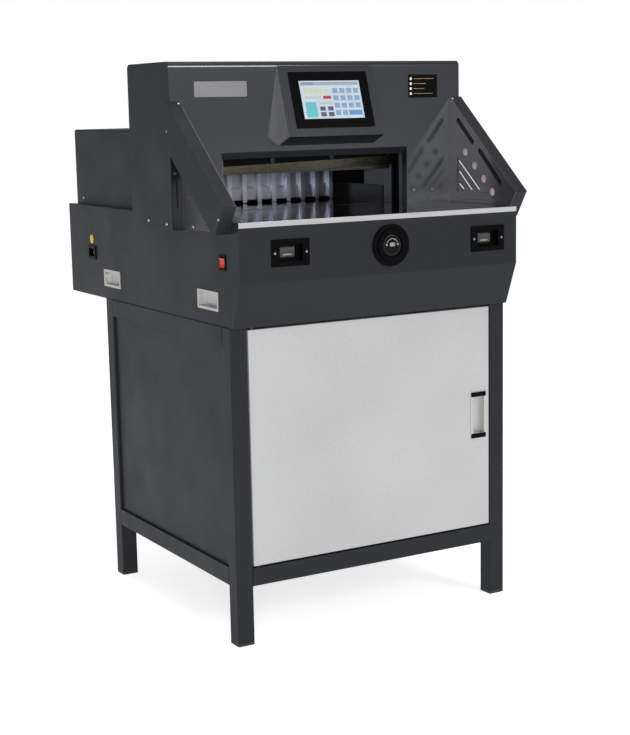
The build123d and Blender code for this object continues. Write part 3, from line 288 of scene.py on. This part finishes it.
# ---------------------------------------------------------------- mesh helpers
def facing(centre, outward, up=(0, 0, 1)):
    """A frame at centre whose Z axis points outward and whose Y axis is as near to up as it can be."""
    z_axis = Vector(outward).normalized()
    x_axis = Vector(up).cross(z_axis).normalized()
    y_axis = z_axis.cross(x_axis)
    turn = Matrix((x_axis, y_axis, z_axis)).transposed().to_4x4()
    return Matrix.Translation(Vector(centre)) @ turn


def finish_piece(name, mesh, place, finish, body, smooth=False):
    """Puts a bmesh in the scene as a named piece that rides on a body."""
    data = bpy.data.meshes.new(name)
    bmesh.ops.recalc_face_normals(mesh, faces=mesh.faces)
    mesh.to_mesh(data)
    mesh.free()
    for face in data.polygons:
        face.use_smooth = smooth
    piece = bpy.data.objects.new(name, data)
    piece.matrix_world = place
    data.materials.append(finish)
    bpy.context.scene.collection.objects.link(piece)
    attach(piece, body)
    return piece


def slab(name, place, width, height, thick, finish, body, corner=0.0, lift=0.0):
    """A plate on the frame's XY plane with rounded corners and softened front edges."""
    steps = 6
    corner = min(corner, width / 2.02, height / 2.02)
    points = []
    for side_x, side_y, start in ((1, 1, 0), (-1, 1, 90), (-1, -1, 180), (1, -1, 270)):
        for step in range(steps + 1 if corner else 1):
            angle = math.radians(start + 90 * step / steps)
            points.append((
                side_x * (width / 2 - corner) + corner * math.cos(angle),
                side_y * (height / 2 - corner) + corner * math.sin(angle),
            ))
    mesh = bmesh.new()
    base = mesh.faces.new([mesh.verts.new((x, y, lift)) for x, y in points])
    raised = bmesh.ops.extrude_face_region(mesh, geom=[base])
    top = [v for v in raised["geom"] if isinstance(v, bmesh.types.BMVert)]
    bmesh.ops.translate(mesh, verts=top, vec=(0, 0, thick))
    rim = [e for e in mesh.edges if all(v in top for v in e.verts)]
    bmesh.ops.bevel(mesh, geom=rim, offset=min(thick * 0.35, 0.8 * MM), segments=2, affect="EDGES")
    return finish_piece(name, mesh, place, finish, body)


def turned(name, place, profile, finish, body, segments=64):
    """A turned piece: the (radius, height) profile goes round the frame's Z axis."""
    mesh = bmesh.new()
    rings = []
    for radius, height in profile:
        if radius < 1e-6:
            rings.append([mesh.verts.new((0, 0, height))])
            continue
        ring = []
        for step in range(segments):
            angle = 2 * math.pi * step / segments
            ring.append(mesh.verts.new((radius * math.cos(angle), radius * math.sin(angle), height)))
        rings.append(ring)
    for inner, outer in zip(rings, rings[1:]):
        for step in range(segments):
            after = (step + 1) % segments
            corners = [inner[step % len(inner)], inner[after % len(inner)],
                       outer[after % len(outer)], outer[step % len(outer)]]
            mesh.faces.new(list(dict.fromkeys(corners)))
    return finish_piece(name, mesh, place, finish, body, smooth=True)


def arc_band(name, place, radius, width, start, end, thick, finish, body, lift=0.0):
    """A flat raised band along an arc, between two angles in degrees."""
    steps = 40
    mesh = bmesh.new()
    previous = None
    for step in range(steps + 1):
        angle = math.radians(start + (end - start) * step / steps)
        direction = Vector((math.cos(angle), math.sin(angle), 0))
        section = [
            mesh.verts.new(direction * (radius + across) + Vector((0, 0, lift + height)))
            for across, height in ((-width / 2, 0), (-width / 2, thick), (width / 2, thick), (width / 2, 0))
        ]
        if previous:
            for i in range(4):
                mesh.faces.new((previous[i], previous[(i + 1) % 4], section[(i + 1) % 4], section[i]))
        previous = section
    return finish_piece(name, mesh, place, finish, body)


def domed(radius, height, edge=0.0):
    """The profile of a shallow dome with a short upright edge."""
    points = [(radius, 0), (radius, edge)]
    for step in range(1, 9):
        angle = math.pi / 2 * step / 8
        points.append((radius * math.cos(angle), edge + height * math.sin(angle)))
    return points


# ---------------------------------------------------------------- plates on the head
def make_head_plates():
    head_low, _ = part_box("head_front_cover")
    metal = brushed("badge_metal", (0.20, 0.20, 0.21), 0, (0.4, 0.55))
    black = moulded("plate_black", (0.002, 0.002, 0.002), (0.25, 0.32), shine=0.05)
    gold = brushed("plate_gold", (0.62, 0.45, 0.20), 0, (0.3, 0.45))
    pale = moulded("plate_dot", (0.62, 0.60, 0.56))

    badge = facing((-0.256, head_low.y, 1.201), (0, -1, 0))
    slab("plain_badge", badge, 0.130, 0.034, PLATE_THICKNESS, metal, "machine", corner=3 * MM)

    plate = facing((0.279, head_low.y, 1.202), (0, -1, 0))
    slab("instruction_plate", plate, 0.082, 0.054, PLATE_THICKNESS, black, "machine",
         corner=1.5 * MM)
    line_lengths = (56 * MM, 34 * MM, 30 * MM, 54 * MM)
    for row, length in enumerate(line_lengths):
        height = ((INSTRUCTION_ROWS - 1) / 2 - row) * INSTRUCTION_PITCH
        dot = plate @ Matrix.Translation((-0.034, height, PLATE_THICKNESS))
        turned(f"instruction_dot_{row}", dot, domed(3.2 * MM, 0.2 * MM, 0.1 * MM), pale, "machine",
               DOT_SIDES)
        line = plate @ Matrix.Translation((-0.026 + length / 2, height, PLATE_THICKNESS))
        slab(f"instruction_line_{row}", line, length, 0.8 * MM, 0.2 * MM, gold, "machine")


# ---------------------------------------------------------------- screen
def make_screen_picture():
    """Plain blocks of colour laid out like a number pad and readouts, with no lettering."""
    low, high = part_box("screen_housing")
    display_low, display_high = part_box("touch_display")
    face_drop = high.z - low.z - HOUSING_HEEL
    face_reach = high.y - low.y
    length = math.hypot(face_drop, face_reach)
    outward = Vector((0, -face_drop / length, face_reach / length))
    along_up = Vector((0, face_reach / length, face_drop / length))
    width = display_high.x - display_low.x
    middle = Vector(((low.x + high.x) / 2 + 1 * MM, high.y, high.z)) - along_up * DISPLAY_DROP
    place = facing(middle + outward * 1 * MM, outward)

    shades = {
        "strip": (0.42, 0.47, 0.52),
        "strip_dark": (0.10, 0.13, 0.30),
        "digit": (0.72, 0.76, 0.48),
        "readout": (0.60, 0.66, 0.62),
        "alarm": (0.55, 0.03, 0.04),
        "chart": (0.16, 0.62, 0.66),
        "dark_key": (0.10, 0.09, 0.17),
        "key": (0.30, 0.42, 0.62),
        "enter": (0.12, 0.36, 0.72),
    }
    finishes = {name: lit(f"screen_{name}", colour) for name, colour in shades.items()}

    def patch(name, shade, left, top, right, bottom):
        """A lit block between shares of the display's width and height, from its upper left corner."""
        centre = ((left + right - 1) / 2 * width, (1 - top - bottom) / 2 * DISPLAY_HEIGHT, 0)
        slab(f"screen_{name}", place @ Matrix.Translation(centre), (right - left) * width,
             (bottom - top) * DISPLAY_HEIGHT, 0.25 * MM, finishes[shade], "machine")

    patch("top_strip", "strip", 0.02, 0.03, 0.98, 0.12)
    patch("top_word", "strip_dark", 0.04, 0.05, 0.24, 0.10)
    for index in range(5):
        left = 0.06 + index * 0.083
        patch(f"digit_{index}", "digit", left, 0.22, left + 0.066, 0.37)
    patch("readout", "readout", 0.06, 0.41, 0.33, 0.47)
    patch("alarm", "alarm", 0.36, 0.40, 0.49, 0.48)
    patch("chart", "chart", 0.05, 0.56, 0.23, 0.96)
    patch("label", "readout", 0.28, 0.56, 0.50, 0.62)
    for row in range(2):
        for column in range(2):
            left, top = 0.28 + column * 0.13, 0.68 + row * 0.15
            patch(f"dark_key_{row}_{column}", "dark_key", left, top, left + 0.09, top + 0.11)
    for row in range(4):
        for column in range(4):
            if row == 3 and column > 1:
                continue
            left, top = 0.53 + column * 0.117, 0.20 + row * 0.195
            patch(f"key_{row}_{column}", "key", left, top, left + 0.085, top + 0.13)
    patch("enter_key", "enter", 0.75, 0.785, 0.97, 0.915)


# ---------------------------------------------------------------- front controls
def make_dial_cap():
    wheel_low, wheel_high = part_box("dial_wheel")
    centre_x = (wheel_low.x + wheel_high.x) / 2
    centre_z = (wheel_low.z + wheel_high.z) / 2
    gloss = moulded("cap_black", (0.0015, 0.0015, 0.0015), (0.25, 0.32), 0.000005, shine=0.1)
    mark = moulded("dial_mark", (0.22, 0.22, 0.22), shine=0.2)
    faint = moulded("dial_faint_mark", (0.03, 0.03, 0.028), shine=0.1)
    place = facing((centre_x, wheel_low.y + DIAL_RECESS, centre_z), (0, -1, 0))
    profile = [(25 * MM, 0), (25 * MM, 1.4 * MM), (23.5 * MM, 2 * MM), (14 * MM, 2.4 * MM), (0, 2.8 * MM)]
    turned("dial_cap", place, profile, gloss, "dial")
    arc_band("dial_ring", place, 21 * MM, 0.9 * MM, 0, 360, 0.4 * MM, faint, "dial",
             lift=1.9 * MM)
    arc_band("dial_arc", place, MARK_RADIUS, 1.5 * MM, 25, 155, 0.5 * MM, mark, "dial",
             lift=2.3 * MM)
    for word, degrees in (("right", 8), ("left", 172)):
        angle = math.radians(degrees)
        spot = Matrix.Translation((MARK_RADIUS * math.cos(angle), MARK_RADIUS * math.sin(angle), 2.3 * MM))
        turned(f"dial_dot_{word}", place @ spot, domed(2.6 * MM, 0.5 * MM, 0.2 * MM), mark, "dial",
               DOT_SIDES)
    label = place @ Matrix.Translation((0, 2 * MM, 2.6 * MM))
    slab("dial_label", label, 13 * MM, 8 * MM, 0.5 * MM, mark, "dial", corner=1 * MM)


def make_button_bars():
    cream = lit("button_glow", (0.62, 0.56, 0.36), 0.5)
    for side in ("left", "right"):
        low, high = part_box(f"{side}_cut_button")
        place = facing(((low.x + high.x) / 2, low.y, low.z + 6.5 * MM), (0, -1, 0))
        slab(f"{side}_button_bar", place, 20 * MM, 2.8 * MM, 0.6 * MM, cream, f"{side}_button",
             corner=1 * MM)


# ---------------------------------------------------------------- guards
def make_guard_fittings():
    """Light-curtain windows and marker discs on the liners' inner faces, placed from their rear edge."""
    liner_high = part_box("guard_liners")[1]
    curtain = moulded("curtain_window", (0.005, 0.004, 0.006), (0.25, 0.35), 0.000004, shine=0.1)
    pale = moulded("marker_pale", (0.52, 0.50, 0.52))
    pink = moulded("marker_ring", (0.50, 0.22, 0.25))
    rear = liner_high.y
    strips = (((-0.030, 1.123), (-0.095, 1.067)), ((-0.117, 1.053), (-0.204, 0.9745)))
    markers = ((-0.063, 1.045), (-0.100, 1.014), (-0.136, 0.984), (-0.170, 0.955))
    for word, side in (("left", -1), ("right", 1)):
        inner_x = side * LINER_FACE_X
        inward = (-side, 0, 0)
        for index, (start, end) in enumerate(strips):
            run = Vector((0, end[0] - start[0], end[1] - start[1]))
            centre = Vector((inner_x, rear + (start[0] + end[0]) / 2, (start[1] + end[1]) / 2))
            place = facing(centre, inward, up=run)
            slab(f"{word}_curtain_{index}", place, 11 * MM, run.length, 1.0 * MM, curtain, "machine",
                 corner=2 * MM)
        for index, (y, z) in enumerate(markers):
            place = facing((inner_x, rear + y, z), inward)
            turned(f"{word}_marker_{index}", place, domed(9 * MM, 0.3 * MM, 0.3 * MM), pale, "machine",
                   32)
            arc_band(f"{word}_marker_ring_{index}", place, 7.4 * MM, 1.4 * MM, 0, 360, 0.4 * MM, pink,
                     "machine", lift=0.3 * MM)


def make_arm_screws():
    """One dome screw near the upper end of each arm's sloping front strip, close to its inner edge."""
    low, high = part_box("guard_arms")
    slope = Vector((0, low.y - high.y, ARM_NOSE_Z - high.z)).normalized()
    outward = Vector((0, slope.z, -slope.y))
    for word, side in (("left", -1), ("right", 1)):
        centre = Vector((side * (high.x - 28 * MM), high.y, high.z)) + slope * 7 * MM
        turned(f"{word}_arm_screw", facing(centre, outward), domed(3 * MM, 1.2 * MM, 0.2 * MM),
               SLOTS["machined_steel"], "machine", DOT_SIDES)


# ---------------------------------------------------------------- left side and door
def make_side_fittings():
    casing_low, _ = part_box("casing_left_side")
    inlet_low, inlet_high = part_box("power_inlet")
    centre_y = (inlet_low.y + inlet_high.y) / 2
    centre_z = (inlet_low.z + inlet_high.z) / 2
    yellow = moulded("disc_yellow", (0.62, 0.42, 0.02))
    place = facing((casing_low.x, centre_y + 2 * MM, centre_z + 33 * MM), (-1, 0, 0))
    turned("yellow_disc", place, domed(11 * MM, 0.3 * MM, 0.5 * MM), yellow, "machine", 40)

    floor_x = inlet_low.x + 23 * MM
    for index, (shift_y, shift_z) in enumerate(((-8, -2), (0, 3), (8, -2))):
        place = facing((floor_x, centre_y + shift_y * MM, centre_z + shift_z * MM), (-1, 0, 0))
        slab(f"inlet_contact_{index}", place, 2 * MM, 4 * MM, 16 * MM, SLOTS["machined_steel"], "machine",
             corner=0.4 * MM)

    cup_low, cup_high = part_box("door_handle")
    cap = 12 * MM
    for word, middle in (("lower", cup_low.z + cap / 2), ("upper", cup_high.z - cap / 2)):
        place = facing(((cup_low.x + cup_high.x) / 2, cup_low.y, middle), (0, -1, 0))
        slab(f"handle_cap_{word}", place, cup_high.x - cup_low.x - 1 * MM, cap - 1 * MM, 1.2 * MM,
             SLOTS["black_plastic"], "door", corner=1.5 * MM)


# ---------------------------------------------------------------- studio
def make_floor():
    """A pale floor that glows a little, so it meets the white behind it without an edge."""
    mesh = bmesh.new()
    bmesh.ops.create_grid(mesh, x_segments=1, y_segments=1, size=60)
    data = bpy.data.meshes.new("floor")
    mesh.to_mesh(data)
    mesh.free()
    floor = bpy.data.objects.new("floor", data)
    bpy.context.scene.collection.objects.link(floor)
    pale = painted("floor_pale", (0.84, 0.84, 0.84), (0.86, 0.86, 0.86), (0.8, 0.9), 0, 0.5, 0)
    shader = pale.node_tree.nodes["Principled BSDF"]
    shader.inputs["Emission Color"].default_value = (*WHITE, 1)
    shader.inputs["Emission Strength"].default_value = 0.7
    data.materials.append(pale)


def make_world():
    """Plain white behind the machine, with a dimmer even light on it."""
    world = bpy.data.worlds.new("studio")
    bpy.context.scene.world = world
    world.use_nodes = True
    tree = world.node_tree
    light = tree.nodes["Background"]
    light.inputs["Color"].default_value = (0.96, 0.98, 1.0, 1)
    light.inputs["Strength"].default_value = 0.4
    white = add_node(tree, "ShaderNodeBackground", {"Color": (*WHITE, 1), "Strength": 1.0})
    path = add_node(tree, "ShaderNodeLightPath")
    choice = add_node(tree, "ShaderNodeMixShader")
    tree.links.new(path.outputs["Is Camera Ray"], choice.inputs["Fac"])
    tree.links.new(light.outputs["Background"], choice.inputs[1])
    tree.links.new(white.outputs["Background"], choice.inputs[2])
    tree.links.new(choice.outputs["Shader"], tree.nodes["World Output"].inputs["Surface"])


def add_lamp(name, place, target, size, power):
    """A soft white rectangular lamp aimed at a point."""
    data = bpy.data.lights.new(name, "AREA")
    data.shape = "RECTANGLE"
    data.size, data.size_y = size
    data.energy = power
    lamp = bpy.data.objects.new(name, data)
    lamp.location = place
    lamp.rotation_euler = (Vector(target) - Vector(place)).to_track_quat("-Z", "Y").to_euler()
    bpy.context.scene.collection.objects.link(lamp)


def make_camera():
    """The camera at the front left, a little above the table, turned in yaw, pitch and roll."""
    yaw, pitch, roll = math.radians(29.957), math.radians(-9.633), math.radians(-1.147)
    forward = Vector((math.sin(yaw) * math.cos(pitch), math.cos(yaw) * math.cos(pitch), math.sin(pitch)))
    level_right = Vector((math.cos(yaw), -math.sin(yaw), 0))
    level_up = level_right.cross(forward)
    right = math.cos(roll) * level_right + math.sin(roll) * level_up
    up = math.cos(roll) * level_up - math.sin(roll) * level_right
    data = bpy.data.cameras.new("camera")
    data.sensor_width = 36
    data.lens = 75.41
    camera = bpy.data.objects.new("camera", data)
    turn = Matrix((right, up, -forward)).transposed().to_4x4()
    camera.matrix_world = Matrix.Translation((-1.8049, -3.2868, 1.1600)) @ turn
    bpy.context.scene.collection.objects.link(camera)
    bpy.context.scene.camera = camera


dress_cad_nodes()
make_head_plates()
make_screen_picture()
make_dial_cap()
make_button_bars()
make_guard_fittings()
make_arm_screws()
make_side_fittings()
make_floor()
make_world()
add_lamp("key", (1.6, -4.0, 2.4), (0, -0.1, 0.9), (1.2, 1.2), 55)
add_lamp("fill", (-2.15, -3.9, 1.1), (0, -0.2, 0.9), (1.3, 0.9), 72)
add_lamp("top", (0.3, -0.4, 3.4), (0, 0, 0.9), (2.6, 2.6), 40)
make_camera()
bpy.context.scene.view_settings.view_transform = "Standard"
